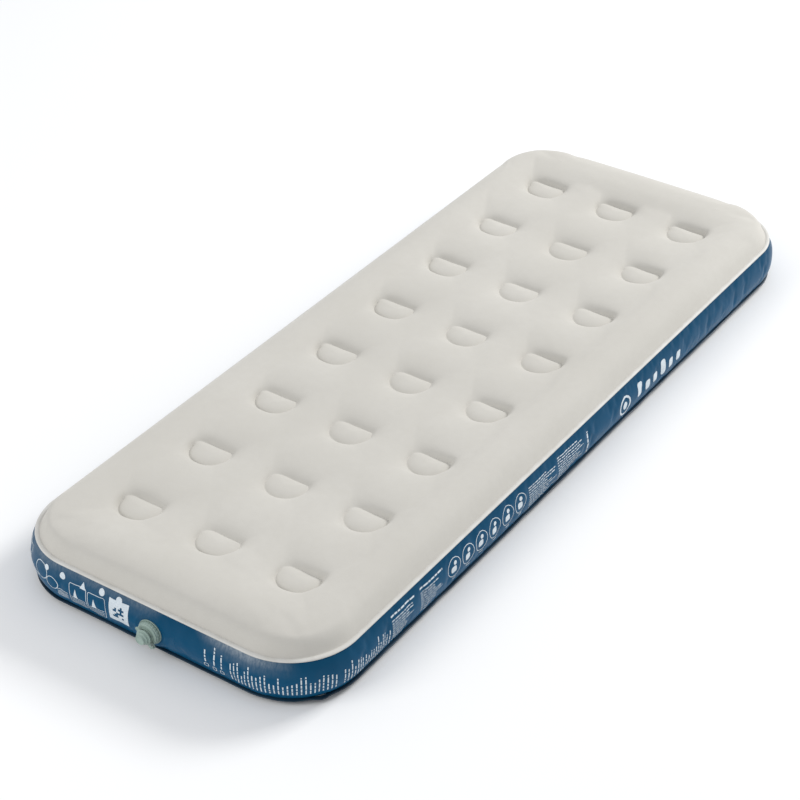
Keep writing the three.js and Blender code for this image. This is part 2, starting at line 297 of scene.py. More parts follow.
def laplacian(points, faces):
    """Cotangent weights and areas of a flat mesh: index pairs, their weights, and each point's area."""
    triangles = np.array([t for f in faces for t in ((f[0], f[1], f[2]), (f[0], f[2], f[3]))])
    pairs, weights, area = [], [], np.zeros(len(points))
    a, b, c = (points[triangles[:, i]] for i in range(3))
    u, v = b - a, c - a
    double = np.abs(u[:, 0] * v[:, 1] - u[:, 1] * v[:, 0])
    for i in range(3):
        np.add.at(area, triangles[:, i], double / 6)
        apex, left, right = (triangles[:, (i + k) % 3] for k in range(3))
        u, v = points[left] - points[apex], points[right] - points[apex]
        cot = np.sum(u * v, -1) / np.maximum(double, 1e-12)
        pairs.append(np.stack([left, right], -1))
        weights.append(np.clip(cot, 0.02, 50) / 2)
    return np.concatenate(pairs), np.concatenate(weights), area

MOST_STEPS = 1200                # of the solver of membrane()
SETTLED = 1e-16

def membrane(points, faces, load, fixed, heights, hold):
    """Heights of a taut sheet over the flat mesh, blown up by load, held at heights where fixed, and pulled
    towards them as hard as hold says. Solved by conjugate gradients."""
    pairs, weights, area = laplacian(points, faces)
    left, right = pairs[:, 0], pairs[:, 1]
    count = len(points)
    spring = hold * area

    def pull(h):
        difference = weights * (h[left] - h[right])
        return np.bincount(left, difference, count) - np.bincount(right, difference, count) + spring * h

    diagonal = np.bincount(left, weights, count) + np.bincount(right, weights, count) + spring
    free = ~fixed
    h = heights.copy()
    residual = np.where(free, load * area + spring * heights - pull(h), 0)
    step = residual / diagonal
    direction = step.copy()
    slope = residual @ step
    for _ in range(MOST_STEPS):
        pulled = np.where(free, pull(direction), 0)
        move = slope / (direction @ pulled)
        h += move * direction
        residual -= move * pulled
        step = residual / diagonal
        new_slope = residual @ step
        if new_slope < SETTLED:
            break
        direction = step + new_slope / slope * direction
        slope = new_slope
    return h

def weld_hold(tags):
    """Which points lie on a weld, and how firmly: least where the flat turns down into the arc."""
    firm = np.zeros(len(tags))
    for index, (kind, _, ring, k) in enumerate(tags):
        if kind == "cell" and ring == 0:
            along = (k - 2 * PER_SIDE) / PER_SIDE        # 0 at the flat's +X end, 1 where the arc starts
            letting_go = np.clip((along - 0.55) / 0.3, 0, 1)
            starting = np.clip((along - 0.95) / 0.2, 0, 1)
            firm[index] = 1 if along <= 0 else max(1 - 0.75 * letting_go, starting)
    return firm

def fullness(points, tags):
    """How hard the air lifts each point: on the small domes and along the border more than between welds."""
    inset = rim_distance(points)
    lift = 1 + BORDER_LIFT * np.clip((BORDER_WIDTH - inset) / BORDER_FADE, 0, 1)
    lift[[kind == "dome" for kind, _, _, _ in tags]] = DOME_LIFT
    return lift

def rim_distance(points):
    """How far each point lies inside the outline."""
    qx = np.abs(points[:, 0]) - (HALF_X - CORNER_R)
    qy = np.abs(points[:, 1]) - (HALF_Y - CORNER_R)
    outside = np.hypot(np.maximum(qx, 0), np.maximum(qy, 0))
    return CORNER_R - outside - np.minimum(np.maximum(qx, qy), 0)

def quilt_heights(points, faces, tags, rim_z, weld_z, crest):
    """Heights of a sheet welded at its rim and its discs and blown up to crest, and how firmly each point
    is held: steep at the welds, level on top."""
    firm = weld_hold(tags)
    rim = np.array([kind == "border" and ring < LIP_RINGS for kind, _, ring, _ in tags])
    fixed = rim | (firm > 0.99)
    heights = np.where(rim, rim_z, weld_z)
    soft = np.where(fixed, 0, firm ** 2 * WELD_PULL)
    at_rest = membrane(points, faces, np.zeros(len(points)), fixed, heights, soft)
    blown = membrane(points, faces, fullness(points, tags), fixed, np.zeros(len(points)), soft)
    rounded = 1 - np.exp(-np.maximum(blown, 0) / STEEPNESS)
    return at_rest + (crest - at_rest) * rounded / rounded.max(), np.where(rim, 1.0, firm)

# ---- cloth ----------------------------------------------------------------------------------------------
STIFFNESS = 15.0
CLOTH_FRAMES = 14

def simulate(piece, pins, pressure, cap, grow=0.0):
    """Blows piece up as cloth held at its pins, and keeps each point within cap of where it began."""
    before = coordinates(piece)
    group = piece.vertex_groups.new(name="pins")
    level = np.round(pins, 1)
    for weight in np.unique(level[level > 0]):
        group.add([int(i) for i in np.flatnonzero(level == weight)], float(weight), "REPLACE")
    cloth = piece.modifiers.new("cloth", "CLOTH")
    settings = cloth.settings
    settings.quality = 6
    settings.mass = 0.3
    settings.tension_stiffness = settings.compression_stiffness = STIFFNESS
    settings.shear_stiffness = STIFFNESS / 2
    settings.bending_stiffness = 0.5
    settings.tension_damping = settings.compression_damping = settings.shear_damping = 10
    settings.air_damping = 4
    settings.vertex_group_mass = "pins"
    settings.pin_stiffness = 20
    settings.shrink_min = -grow
    settings.use_pressure = True
    settings.uniform_pressure_force = pressure
    settings.effector_weights.gravity = 0
    cloth.collision_settings.use_collision = False
    cloth.point_cache.frame_start = 1
    cloth.point_cache.frame_end = CLOTH_FRAMES
    scene = bpy.context.scene
    for number in range(1, CLOTH_FRAMES + 1):
        scene.frame_set(number)
    graph = bpy.context.evaluated_depsgraph_get()
    after = np.empty(before.size)
    piece.evaluated_get(graph).data.vertices.foreach_get("co", after)
    piece.modifiers.remove(cloth)
    piece.vertex_groups.clear()
    scene.frame_set(1)
    moved = after.reshape(-1, 3) - before
    length = np.linalg.norm(moved, axis=1, keepdims=True)
    set_coordinates(piece, before + moved * np.minimum(1, cap / np.maximum(length, 1e-9)))

# ---- pieces of the skin -----------------------------------------------------------------------------------
def top_sheet():
    points, faces, tags = quilt()
    heights, pins = quilt_heights(points, faces, tags, SEAM_TOP, TOP_DISC, CREST)
    piece = mesh_object("sleeping_surface", np.column_stack([points, heights]), faces, flock())
    simulate(piece, pins, pressure=2.0, cap=0.006)
    subdivide(piece)
    apply_modifiers(piece)
    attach(piece, "sleeping_surface")
    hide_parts("top_sheet")

UNDER_CREST = -0.012             # how low the underside would bulge without the floor
LOWEST = 0.0004                  # how high it lies over the floor
ROUNDING = 0.0036                # height over which it eases down onto the floor

def bottom_sheet():
    """The underside, quilted as the top is and pressed level by the floor."""
    points, faces, tags = quilt()
    heights = quilt_heights(points, faces, tags, SEAM_BOTTOM, BOTTOM_DISC, UNDER_CREST)[0]
    squeezed = LOWEST + ROUNDING * np.exp((heights - LOWEST - ROUNDING) / ROUNDING)
    heights = np.where(heights < LOWEST + ROUNDING, squeezed, heights)
    piece = mesh_object("underside", np.column_stack([points, heights]), [f[::-1] for f in faces],
                        navy_pvc())
    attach(piece, "air_chamber")
    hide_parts("bottom_sheet")

STATIONS = 704                   # points along the outline of the band and the lips

def ring_around(name, profile, material, wave=None):
    """Closed strip round the outline. profile lists (outset, z); wave(s) adds to each station's outset, z."""
    s = np.arange(STATIONS) / STATIONS * AROUND
    out, up = wave(s) if wave else np.zeros((2, STATIONS))
    loops = []
    for outset, z in profile:
        point, normal = outline(s, outset)
        loops.append(np.column_stack([point + normal * out[:, None], z + up]))
    faces = tube_faces(len(profile), STATIONS, closed=True)
    return mesh_object(name, np.concatenate(loops), faces, material)

def band_outset(z):
    """How far the side band stands out past the outline at height z."""
    share = np.clip((z - SEAM_BOTTOM) / (SEAM_TOP - SEAM_BOTTOM), 0, 1)
    return BULGE * (1 - np.abs(2 * share - 1) ** 2.4)

def from_valve(x, z):
    """Distance from the valve's axis."""
    return np.hypot(x - VALVE.x, z - VALVE.z)

BAND_LEVELS = 15
PAD_R = 0.044                    # the film swells outside this radius about the valve
PAD_FADE = 0.016                 # and is flat this much nearer to the valve
PINNED_R = 0.03                  # film held by the valve's flange
HOLE_R = 0.0195                  # hole for the valve's boss

def side_band():
    s = (np.arange(STATIONS) + 0.5) / STATIONS * AROUND
    point, normal = outline(s, 0)
    valve_side = (point[:, 1] < 0) & (np.abs(normal[:, 1] + 1) < 1e-6)
    points = []
    for z in SEAM_BOTTOM + (SEAM_TOP - SEAM_BOTTOM) * np.arange(BAND_LEVELS) / (BAND_LEVELS - 1):
        level = np.clip((PAD_R - from_valve(point[:, 0], z)) / PAD_FADE, 0, 1)
        level = eased(np.where(valve_side, level, 0))
        out = band_outset(z) * (1 - level) + BULGE * level
        points.append(np.column_stack([point + normal * out[:, None], np.full(STATIONS, z)]))
    points = np.concatenate(points)
    piece = mesh_object("band", points, tube_faces(BAND_LEVELS, STATIONS), blue_pvc())
    pins = np.isin(np.arange(len(points)) // STATIONS, (0, BAND_LEVELS - 1)).astype(float)
    pins[(from_valve(points[:, 0], points[:, 2]) < PINNED_R) & (points[:, 1] < -HALF_Y)] = 1
    simulate(piece, pins, pressure=3.0, cap=0.004, grow=0.012)
    subdivide(piece)
    apply_modifiers(piece)
    pucker(piece)
    open_for_valve(piece)
    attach(piece, "air_chamber")
    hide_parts("side_band", "valve_panel")
    flatten_with_sink(piece)
    return piece

def random_wave(s, wavelength, seed):
    """A smooth random wave round the outline, from -1 to 1."""
    count = int(AROUND / wavelength)
    values = np.random.default_rng(seed).uniform(-1, 1, count)
    at = np.mod(s, AROUND) / AROUND * count
    low = at.astype(int) % count
    t = eased(at - np.floor(at))
    return values[low] * (1 - t) + values[(low + 1) % count] * t

def place_on_outline(points):
    """How far along the outline each point lies, the reverse of outline()."""
    middle_x, middle_y = HALF_X - CORNER_R, HALF_Y - CORNER_R
    cx, cy = np.clip(points[:, 0], -middle_x, middle_x), np.clip(points[:, 1], -middle_y, middle_y)
    turn = np.arctan2(points[:, 1] - cy, points[:, 0] - cx) + math.pi / 2
    quarters = np.mod(turn, 2 * math.pi) / (math.pi / 2)
    side = np.round(quarters).astype(int)
    quarters = np.where(side == 4, quarters - 4, quarters)
    along = np.choose(side % 4, [cx, middle_x + middle_y + cy, 2 * (middle_x + middle_y) - cx,
                                 3 * (middle_x + middle_y) - cy])
    return along + quarters * ARC

def pucker(piece):
    """Fine upright puckers where the film is gathered into the two welds, deepest on the valve side."""
    points = coordinates(piece)
    s = place_on_outline(points)
    normal = outline(s, 0)[1]
    share = (points[:, 2] - SEAM_BOTTOM) / (SEAM_TOP - SEAM_BOTTOM)
    upper = np.exp(-((1 - share) / 0.42) ** 2) * np.clip((1 - share) / 0.05, 0, 1)
    lower = np.exp(-(share / 0.22) ** 2) * np.clip(share / 0.05, 0, 1)
    ends = 0.06 + 0.74 * np.clip((-points[:, 1] - HALF_Y + 0.16) / 0.12, 0, 1)
    wave = 0.0011 * random_wave(s, 0.014, 3) + 0.0013 * random_wave(s, 0.037, 5)
    low_wave = 0.0009 * random_wave(s, 0.017, 7) + 0.001 * random_wave(s, 0.05, 8)
    deep = ends * upper * wave + 0.3 * lower * low_wave
    clear_of_valve = np.clip((from_valve(points[:, 0], points[:, 2]) - PINNED_R) / 0.02, 0, 1)
    deep *= np.where(points[:, 1] < -HALF_Y, clear_of_valve, 1)
    points[:, :2] += normal * deep[:, None]
    set_coordinates(piece, points)

def open_for_valve(piece):
    """Cuts the round hole that the valve's boss goes through."""
    work = bmesh.new()
    work.from_mesh(piece.data)
    front = -HALF_Y - BULGE / 2

    def in_reach(co, radius):
        return co.y < front and from_valve(co.x, co.z) < radius

    inside = [face for face in work.faces if in_reach(face.calc_center_median(), HOLE_R)]
    bmesh.ops.delete(work, geom=inside, context="FACES")
    for vertex in work.verts:
        if vertex.is_boundary and in_reach(vertex.co, 1.5 * HOLE_R):
            scale = HOLE_R / from_valve(vertex.co.x, vertex.co.z)
            vertex.co.x = VALVE.x + (vertex.co.x - VALVE.x) * scale
            vertex.co.z = VALVE.z + (vertex.co.z - VALVE.z) * scale
    work.to_mesh(piece.data)
    work.free()

def flatten_with_sink(piece):
    """Gives the piece a copy of its mesh of its own."""
    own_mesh(piece)

EARS = (STRAIGHT_X / 2 + 0.62 * ARC, STRAIGHT_X / 2 + STRAIGHT_Y + 1.45 * ARC)    # places along the outline
EAR_REACH = 0.0055
EAR_HALF_WIDTH = 0.013

def lip_wave(s):
    """The bottom lip's edge wanders a little and stands out as a small ear at both corners of +X."""
    out = 0.0006 * random_wave(s, 0.05, 15)
    for ear in EARS:
        out = out + EAR_REACH * np.exp(-((s - ear) / EAR_HALF_WIDTH) ** 2)
    return out, -0.0012 * np.abs(random_wave(s, 0.06, 16))

def weld_lips():
    """The pale lip over the top seam and the dark edge at the bottom one. Profiles are (outset, z) pairs."""
    top = [(-0.0078, SEAM_TOP - 0.0006), (-0.0078, SEAM_TOP - 0.0016), (0.0012, SEAM_TOP - 0.0022),
           (0.0026, SEAM_TOP - 0.0018), (0.0028, SEAM_TOP - 0.001), (0.0022, SEAM_TOP + 0.0002),
           (0.0006, SEAM_TOP + 0.0012), (-0.003, SEAM_TOP + 0.0016), (-0.0056, SEAM_TOP + 0.0013),
           (-0.0068, SEAM_TOP + 0.0004)]
    lip = ring_around("top_lip", top[::-1], pale_pvc())
    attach(lip, "sleeping_surface")
    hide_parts("top_weld_lip")
    low = SEAM_BOTTOM
    bottom = [(-0.002, low - 0.0012), (0.0052, low - 0.0016), (0.0068, low - 0.0009), (0.0071, low),
              (0.0066, low + 0.0007), (0.005, low + 0.001), (0.001, low + 0.0012), (-0.002, low + 0.0012)]
    edge = ring_around("bottom_lip", bottom, navy_pvc(), wave=lip_wave)
    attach(edge, "air_chamber")
    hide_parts("bottom_weld_lip")

# ---- coil beams -----------------------------------------------------------------------------------------
BEAM_R = 0.0422
FILM = 0.0007                    # thickness the film of a beam is drawn with
FLANGE = 0.006                   # width of the beam's rim that is welded to a sheet
VENT_R = 0.006

def beam_section(outset):
    """The D of a beam seen from above, anticlockwise, with its corners rounded."""
    radius, corner = BEAM_R + outset, 0.009
    flat = BEAM_R * CHORD + outset
    start = math.pi - math.asin(flat / radius)
    arc = np.linspace(start + corner / radius, 3 * math.pi - start - corner / radius, 61)
    arc = np.stack([np.cos(arc), np.sin(arc)], -1) * radius
    half = math.sqrt(radius ** 2 - flat ** 2)
    ends = [np.array([half, flat]), np.array([-half, flat])]
    t = np.linspace(0, 1, 6)[1:, None]
    right = bend(arc[-1], ends[0], np.array([half - corner, flat]), t)
    line = np.linspace(right[-1], [corner - half, flat], 12)[1:]
    left = bend(line[-1], ends[1], arc[0], t)
    return np.concatenate([arc, right, line, left[:-1]])

def beam_mesh():
    """A beam's film: a D-shaped tube between two weld flanges, softly creased, with vents at both sides."""
    low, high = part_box(coil_nodes[0])[0].z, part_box(coil_nodes[0])[1].z
    levels = [(FLANGE, low + 0.0004), (0.0015, low + 0.0006), (0.0, low + 0.003)]
    levels += [(0.0, low + 0.003 + (high - low - 0.006) * k / 22) for k in range(1, 22)]
    levels += [(0.0, high - 0.003), (0.0015, high - 0.0006), (FLANGE, high - 0.0004)]
    crease = np.random.default_rng(11)
    loops = []
    for outset, z in levels:
        loop = beam_section(0.6 * outset)
        share = math.sin(math.pi * np.clip((z - low) / (high - low), 0, 1))
        around = np.linspace(0, 2 * math.pi, len(loop), endpoint=False)
        sway = 0.0008 * share * np.sin(3 * around + 5 * share)
        sway = sway + 0.0003 * crease.normal(size=len(loop)) * share
        loop = loop * (1 - (0.0012 * share + sway) / BEAM_R)[:, None]
        loops.append(np.column_stack([loop, np.full(len(loop), z)]))
    faces = tube_faces(len(loops), len(loops[0]))
    beam = mesh_object("beam", np.concatenate(loops), faces, inner_pvc())
    wall = beam.modifiers.new("wall", "SOLIDIFY")
    wall.thickness = FILM
    wall.offset = -1
    bpy.ops.mesh.primitive_cylinder_add(vertices=32, radius=VENT_R, depth=4 * BEAM_R,
                                        location=(0, 0, (low + high) / 2), rotation=(0, math.pi / 2, 0))
    rod = bpy.context.object
    vents = beam.modifiers.new("vents", "BOOLEAN")
    vents.operation = "DIFFERENCE"
    vents.object = rod
    apply_modifiers(beam)
    bpy.data.objects.remove(rod)
    beam.data.shade_smooth()
    return beam

def coil_beams():
    pattern = beam_mesh()
    for name, (x, y) in WELDS.items():
        beam = pattern.copy()
        beam.name = name.replace("coil_beam", "beam")
        beam.data = pattern.data
        beam.location = (x, y, 0)
        bpy.context.scene.collection.objects.link(beam)
        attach(beam, "air_chamber")
        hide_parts(name)
        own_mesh(beam)
    bpy.data.objects.remove(pattern)

# ---- valve ------------------------------------------------------------------------------------------------
# Its shells are drawn in millimetres: x as in the mattress, then outwards along the valve's axis, then up.
TURN_STEPS = 96
RIBS = 24

def filleted(profile, radius, steps=4):
    """The closed profile with its corners rounded, except on the axis."""
    made = []
    for index, corner in enumerate(profile):
        corner = np.array(corner, float)
        if corner[0] < 0.01:
            made.append(corner)
            continue
        before = np.array(profile[index - 1], float)
        after = np.array(profile[(index + 1) % len(profile)], float)
        back, on = before - corner, after - corner
        reach = min(radius, 0.45 * np.linalg.norm(back), 0.45 * np.linalg.norm(on))
        start = corner + back / np.linalg.norm(back) * reach
        end = corner + on / np.linalg.norm(on) * reach
        made += [bend(start, corner, end, t) for t in np.linspace(0, 1, steps + 1)]
    return np.array(made)

def turned(profile, radius=0.4, ribs=None):
    """A shell turned about the valve's axis. ribs = (from, to, depth, radius) cuts ribs along the axis into
    the wall that lies outside the radius."""
    line = filleted(profile, radius)
    angle = np.arange(TURN_STEPS * (2 if ribs else 1))
    angle = angle / len(angle) * 2 * math.pi
    points, faces = [], []
    for r, along in line:
        reach = np.full(len(angle), max(r, 0.001))
        if ribs and r > ribs[3] and ribs[0] <= along <= ribs[1]:
            wave = np.clip(1.6 * np.cos(RIBS * angle), -1, 1)
            reach = reach - ribs[2] * (1 - wave) / 2
        level = np.full(len(angle), along)
        points.append(np.stack([reach * np.cos(angle), level, reach * np.sin(angle)], -1))
    count = len(angle)
    for ring in range(len(line)):
        here, there = ring * count, (ring + 1) % len(line) * count
        if line[ring][0] < 0.01 and line[(ring + 1) % len(line)][0] < 0.01:
            continue
        faces += [(here + i, there + i, there + (i + 1) % count, here + (i + 1) % count)
                  for i in range(count)]
    return np.concatenate(points), faces

def swept(path, section):
    """A closed shell with the section, pairs across and through, along (centre, across, through) steps."""
    points = [centre + across * u + through * v for centre, across, through in path for u, v in section]
    count = len(section)
    ends = [tuple(range(count))[::-1], tuple((len(path) - 1) * count + i for i in range(count))]
    return np.array(points), tube_faces(len(path), count) + ends

THREAD_PITCH = 4.0

def thread(root, crest, start):
    """One turn of a right-handed ridge."""
    path, half = [], 0.75
    for step in range(TURN_STEPS + 1):
        angle = 2 * math.pi * step / TURN_STEPS
        out = np.array([math.sin(angle), 0, -math.cos(angle)])
        fade = min(1, step / 6, (TURN_STEPS - step) / 6)
        path.append((out * root + np.array([0, start + THREAD_PITCH * step / TURN_STEPS, 0]),
                     out * ((crest - root) * max(fade, 0.05)), np.array([0, half, 0])))
    section = [(0, -1), (0.8, -0.75), (1, -0.4), (1, 0.4), (0.8, 0.75), (0, 1)]
    return swept(path, section)

def rounded_section(width, height, radius, steps=4):
    """Rounded rectangle as (across, through) pairs, anticlockwise."""
    made = []
    for sx, sy, start in ((1, -1, -90), (1, 1, 0), (-1, 1, 90), (-1, -1, 180)):
        for k in range(steps + 1):
            angle = math.radians(start + 90 * k / steps)
            made.append((sx * (width / 2 - radius) + radius * math.cos(angle),
                         sy * (height / 2 - radius) + radius * math.sin(angle)))
    return made

def valve_piece(name, shells, material, body, slot, *nodes):
    """One mesh from the shells, stood in its place in the band and riding the body."""
    points, faces = [], []
    for shell_points, shell_faces in shells:
        first = sum(len(p) for p in points)
        points.append(np.asarray(shell_points))
        faces += [tuple(first + i for i in face) for face in shell_faces]
    points = np.concatenate(points) / 1000
    points = np.stack([VALVE.x + points[:, 0], VALVE.y - points[:, 1], VALVE.z + points[:, 2]], -1)
    piece = mesh_object(name, points, faces, material)
    work = bmesh.new()
    work.from_mesh(piece.data)
    bmesh.ops.remove_doubles(work, verts=work.verts, dist=2e-6)
    bmesh.ops.recalc_face_normals(work, faces=work.faces)
    work.to_mesh(piece.data)
    work.free()
    piece.data.set_sharp_from_angle(angle=math.radians(38))
    if body:
        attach(piece, body)
    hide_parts(*nodes)
    return piece

def spoke(degrees):
    """Unit vector from the valve's axis, anticlockwise from +X seen from outside with +Z up."""
    return np.array([math.cos(math.radians(degrees)), 0, math.sin(math.radians(degrees))])

def hinge_rod(half, radius):
    """A round rod along the flap's hinge."""
    disc = [(math.cos(a), math.sin(a)) for a in np.linspace(0, 2 * math.pi, 24, endpoint=False)]
    across, through = np.array([0, radius, 0]), np.array([0, 0, radius])
    return swept([(np.array([x, 9.0, 11.4]), across, through) for x in (-half, 0, half)], disc)

def valve():
    plastic, rubber = valve_plastic(), soft_rubber()
    out = np.array([0.0, 1.0, 0.0])
    base = turned([(14, -7), (17, -7), (17, 0.3), (25.5, 0.3), (25.5, 2.6), (23.9, 2.6), (23.4, 1.7),
                   (17, 1.7), (17, 8.4), (14, 8.4)])
    valve_piece("valve_seat", [base, thread(16.8, 18.2, 3.6)], plastic,
                "valve_seat", "valve_plastic", "valve_base")

    gasket = turned([(14.2, 8.7), (16.7, 8.7), (16.7, 10.2), (14.2, 10.2)], 0.6)
    valve_piece("gasket_ring", [gasket], rubber, "gasket", "soft_rubber", "collar_gasket")

    cup = turned([(18.6, 3), (23.6, 3), (23.6, 8), (22.2, 8.6), (22, 11.7), (20.8, 12.5), (12, 12.5),
                  (12, 19), (9, 19), (9, 10.5), (18.6, 10.5)], 0.5, ribs=(3.1, 8.2, 0.9, 21.5))
    lugs = [swept([(np.array([side * x, 9.3, 11.45]), -out * 3.0, np.array([0, 0, 2.5])) for x in (2.4, 4.2)],
                  rounded_section(1, 1, 0.2)) for side in (-1, 1)]
    valve_piece("screw_collar", [cup, thread(18.7, 17.4, 5.6), *lugs], plastic, "collar", "valve_plastic",
                "valve_collar")

    valve_piece("hinge_pin", [hinge_rod(4.2, 0.55)], plastic, "collar", "valve_plastic", "flap_pin")

    flap = turned([(0, 9.2), (9.9, 9.2), (9.9, 10.0), (0, 10.0)], 0.3)
    tab = swept([(np.array([0, 9.6, z]), np.array([1.0, 0, 0]), out) for z in (8.5, 10, 11.1)],
                rounded_section(4, 0.8, 0.3))
    valve_piece("one_way_flap", [flap, tab, hinge_rod(2, 1.1)], rubber, "flap", "soft_rubber", "valve_flap")

    cap = turned([(0, 15.2), (8.2, 15.2), (8.6, 16), (8.6, 19.3), (16, 19.3), (16, 21), (12.5, 21.4),
                  (12.5, 26), (10.3, 26.6), (9.8, 31.5), (8.2, 31.5), (7.8, 30.9), (0, 30.9)], 0.5)
    away = spoke(135)
    across = np.cross(away, out)
    steps = [(14.0, 9.0), (17.5, 9.0), (20.0, 8.4), (21.6, 6.8), (22.6, 4.4), (23.0, 1.6)]
    tab = swept([(away * r + out * 20.15, across * (w / 9.0), out) for r, w in steps],
                rounded_section(9, 1.3, 0.5))
    grips = [swept([(away * r + across * w + out * 20.9, away, out) for w in (-3, 0, 3)],
                   rounded_section(0.8, 0.7, 0.3)) for r in (18.0, 19.6, 21.2)]
    valve_piece("stopper", [cap, tab, *grips], plastic, "stopper", "valve_plastic", "stopper_cap")

    ring = turned([(12.4, 12.9), (15.8, 12.9), (15.8, 14.4), (12.4, 14.4)], 0.4)
    away = spoke(-45)
    across = np.cross(away, out)
    line = [(14.6, 13.65), (19.0, 13.6), (23.2, 13.7)]
    line += [(23.4 + 3.9 * math.cos(math.radians(a)), 16.95 + 3.3 * math.sin(math.radians(a)))
             for a in range(-75, 80, 15)]
    line += [(23.2, 20.3), (19.5, 20.3), (16.1, 20.3)]
    path = []
    for k, (r, along) in enumerate(line):
        ahead, behind = line[min(k + 1, len(line) - 1)], line[max(k - 1, 0)]
        direction = away * (ahead[0] - behind[0]) + out * (ahead[1] - behind[1])
        through = np.cross(across, direction / np.linalg.norm(direction))
        path.append((away * r + out * along, across, through))
    loop = swept(path, rounded_section(6.6, 1.4, 0.45))
    strap = valve_piece("stopper_strap_loop", [ring, loop], plastic, None, "valve_plastic", "stopper_strap")
    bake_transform(strap)

# ---- prints on the band -----------------------------------------------------------------------------------
PRINT_LIFT = 0.00035             # how far the marks stand off the band
PRINT_STEP = 0.004               # longest side of a print's faces

class Prints:
    """Flat marks drawn in the band's own plane, s along the outline and z up, and laid onto the band."""

    def __init__(self, name):
        self.name, self.points, self.faces = name, [], []

    def grid(self, left, right, levels):
        """Quads between two edges, given as s at each level."""
        columns = max(1, math.ceil(max(b - a for a, b in zip(left, right)) / PRINT_STEP))
        first = len(self.points)
        for a, b, z in zip(left, right, levels):
            self.points += [(a + (b - a) * c / columns, z) for c in range(columns + 1)]
        for row in range(len(levels) - 1):
            for c in range(columns):
                k = first + row * (columns + 1) + c
                self.faces.append((k, k + 1, k + columns + 2, k + columns + 1))

    def block(self, s, z, width, height, radius=0.0, taper=0.0):
        """Filled rectangle about (s, z), its corners rounded. taper 1 draws it to a point at the top."""
        rows = max(1, math.ceil(height / PRINT_STEP))
        bends = [radius * (1 - math.cos(a)) for a in np.linspace(0, math.pi / 2, 6)] if radius else [0.0]
        middle = np.linspace(bends[-1], height - bends[-1], rows + 1)
        levels = sorted({round(v, 6) for v in (*bends, *middle, *(height - b for b in bends))})
        left = []
        for level in levels:
            d = min(level, height - level)
            inset = radius - math.sqrt(max(radius ** 2 - (radius - d) ** 2, 0)) if d < radius else 0
            left.append(inset + taper * level / height * width / 2)
        self.grid([s - width / 2 + i for i in left], [s + width / 2 - i for i in left],
                  [z - height / 2 + level for level in levels])

    def disc(self, s, z, radius):
        self.block(s, z, 2 * radius, 2 * radius, radius)

    def line(self, path, width):
        """Closed line of the given width."""
        path = np.array(path)
        ahead, behind = np.roll(path, -1, axis=0), np.roll(path, 1, axis=0)
        along = ahead - behind
        normal = np.stack([-along[:, 1], along[:, 0]], -1) / np.linalg.norm(along, axis=1, keepdims=True)
        first, count = len(self.points), len(path)
        edges = np.concatenate([path - normal * width / 2, path + normal * width / 2])
        self.points += [tuple(p) for p in edges]
        for k in range(count):
            n = (k + 1) % count
            self.faces.append((first + k, first + n, first + count + n, first + count + k))

    def outline(self, s, z, width, height, radius, stroke):
        """Closed line round a rounded rectangle about (s, z)."""
        path = []
        for sx, sy, start in ((1, -1, -90), (1, 1, 0), (-1, 1, 90), (-1, -1, 180)):
            for a in np.linspace(start, start + 90, 5):
                path.append((s + sx * (width / 2 - radius) + radius * math.cos(math.radians(a)),
                             z + sy * (height / 2 - radius) + radius * math.sin(math.radians(a))))
            corner = np.array(path[-1])
            nxt = {(1, -1): (width / 2, height / 2 - radius), (1, 1): (radius - width / 2, height / 2),
                   (-1, 1): (-width / 2, radius - height / 2),
                   (-1, -1): (width / 2 - radius, -height / 2)}[(sx, sy)]
            end = np.array([s, z]) + nxt
            steps = int(np.linalg.norm(end - corner) / PRINT_STEP)
            path += [tuple(corner + (end - corner) * k / (steps + 1)) for k in range(1, steps + 1)]
        self.line(path, stroke)

    def text(self, s_from, s_to, z_from, z_to, lines, seed, upright=False, stroke=0.5, ragged=0.14):
        """Rows of dashes of random length, in the place of small print."""
        random = np.random.default_rng(seed)
        span, depth = (z_to - z_from, s_to - s_from) if upright else (s_to - s_from, z_to - z_from)
        pitch = depth / lines
        for row in range(lines):
            share = 0.6 if lines > 1 and row == lines - 1 else 1.0
            at, limit = 0.0, span * share * random.uniform(1 - ragged, 1.0)
            while at < limit - 0.002:
                word = min(random.uniform(0.004, 0.014), limit - at)
                middle, across = at + word / 2, (row + 0.5) * pitch
                if upright:
                    self.block(s_from + across, z_from + middle, pitch * stroke, word)
                else:
                    self.block(s_from + middle, z_to - across, word, pitch * stroke)
                at += word + 0.0022

    def lay(self, tree):
        """The marks as a mesh on the surface that the tree holds."""
        s, z = np.array(self.points).T
        point, normal = outline(s, 0.04)
        placed = []
        for (x, y), (nx, ny), height in zip(point, normal, z):
            hit, facing, _, _ = tree.ray_cast(Vector((x, y, height)), Vector((-nx, -ny, 0)), 0.08)
            if hit is None:
                hit, facing = Vector((x - nx * 0.028, y - ny * 0.028, height)), Vector((nx, ny, 0))
            if facing.x * nx + facing.y * ny < 0:
                facing = -facing
            placed.append(hit + facing * PRINT_LIFT)
        piece = mesh_object(self.name, placed, self.faces, ink())
        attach(piece, "air_chamber")
        flatten_with_sink(piece)

def side_place(y):
    """Place along the outline of a point on the +X side."""
    return STRAIGHT_X / 2 + ARC + y + HALF_Y - CORNER_R

def scene_frame(marks, s, z):
    """An outlined frame with a plain peak in it and lines for the ground."""
    marks.outline(s, z, 0.040, 0.046, 0.004, 0.0012)
    marks.block(s - 0.006, z + 0.003, 0.011, 0.020, 0.0, 1.0)
    for row in range(4):
        marks.block(s, z - 0.020 + 0.0042 * row, 0.034, 0.0012)

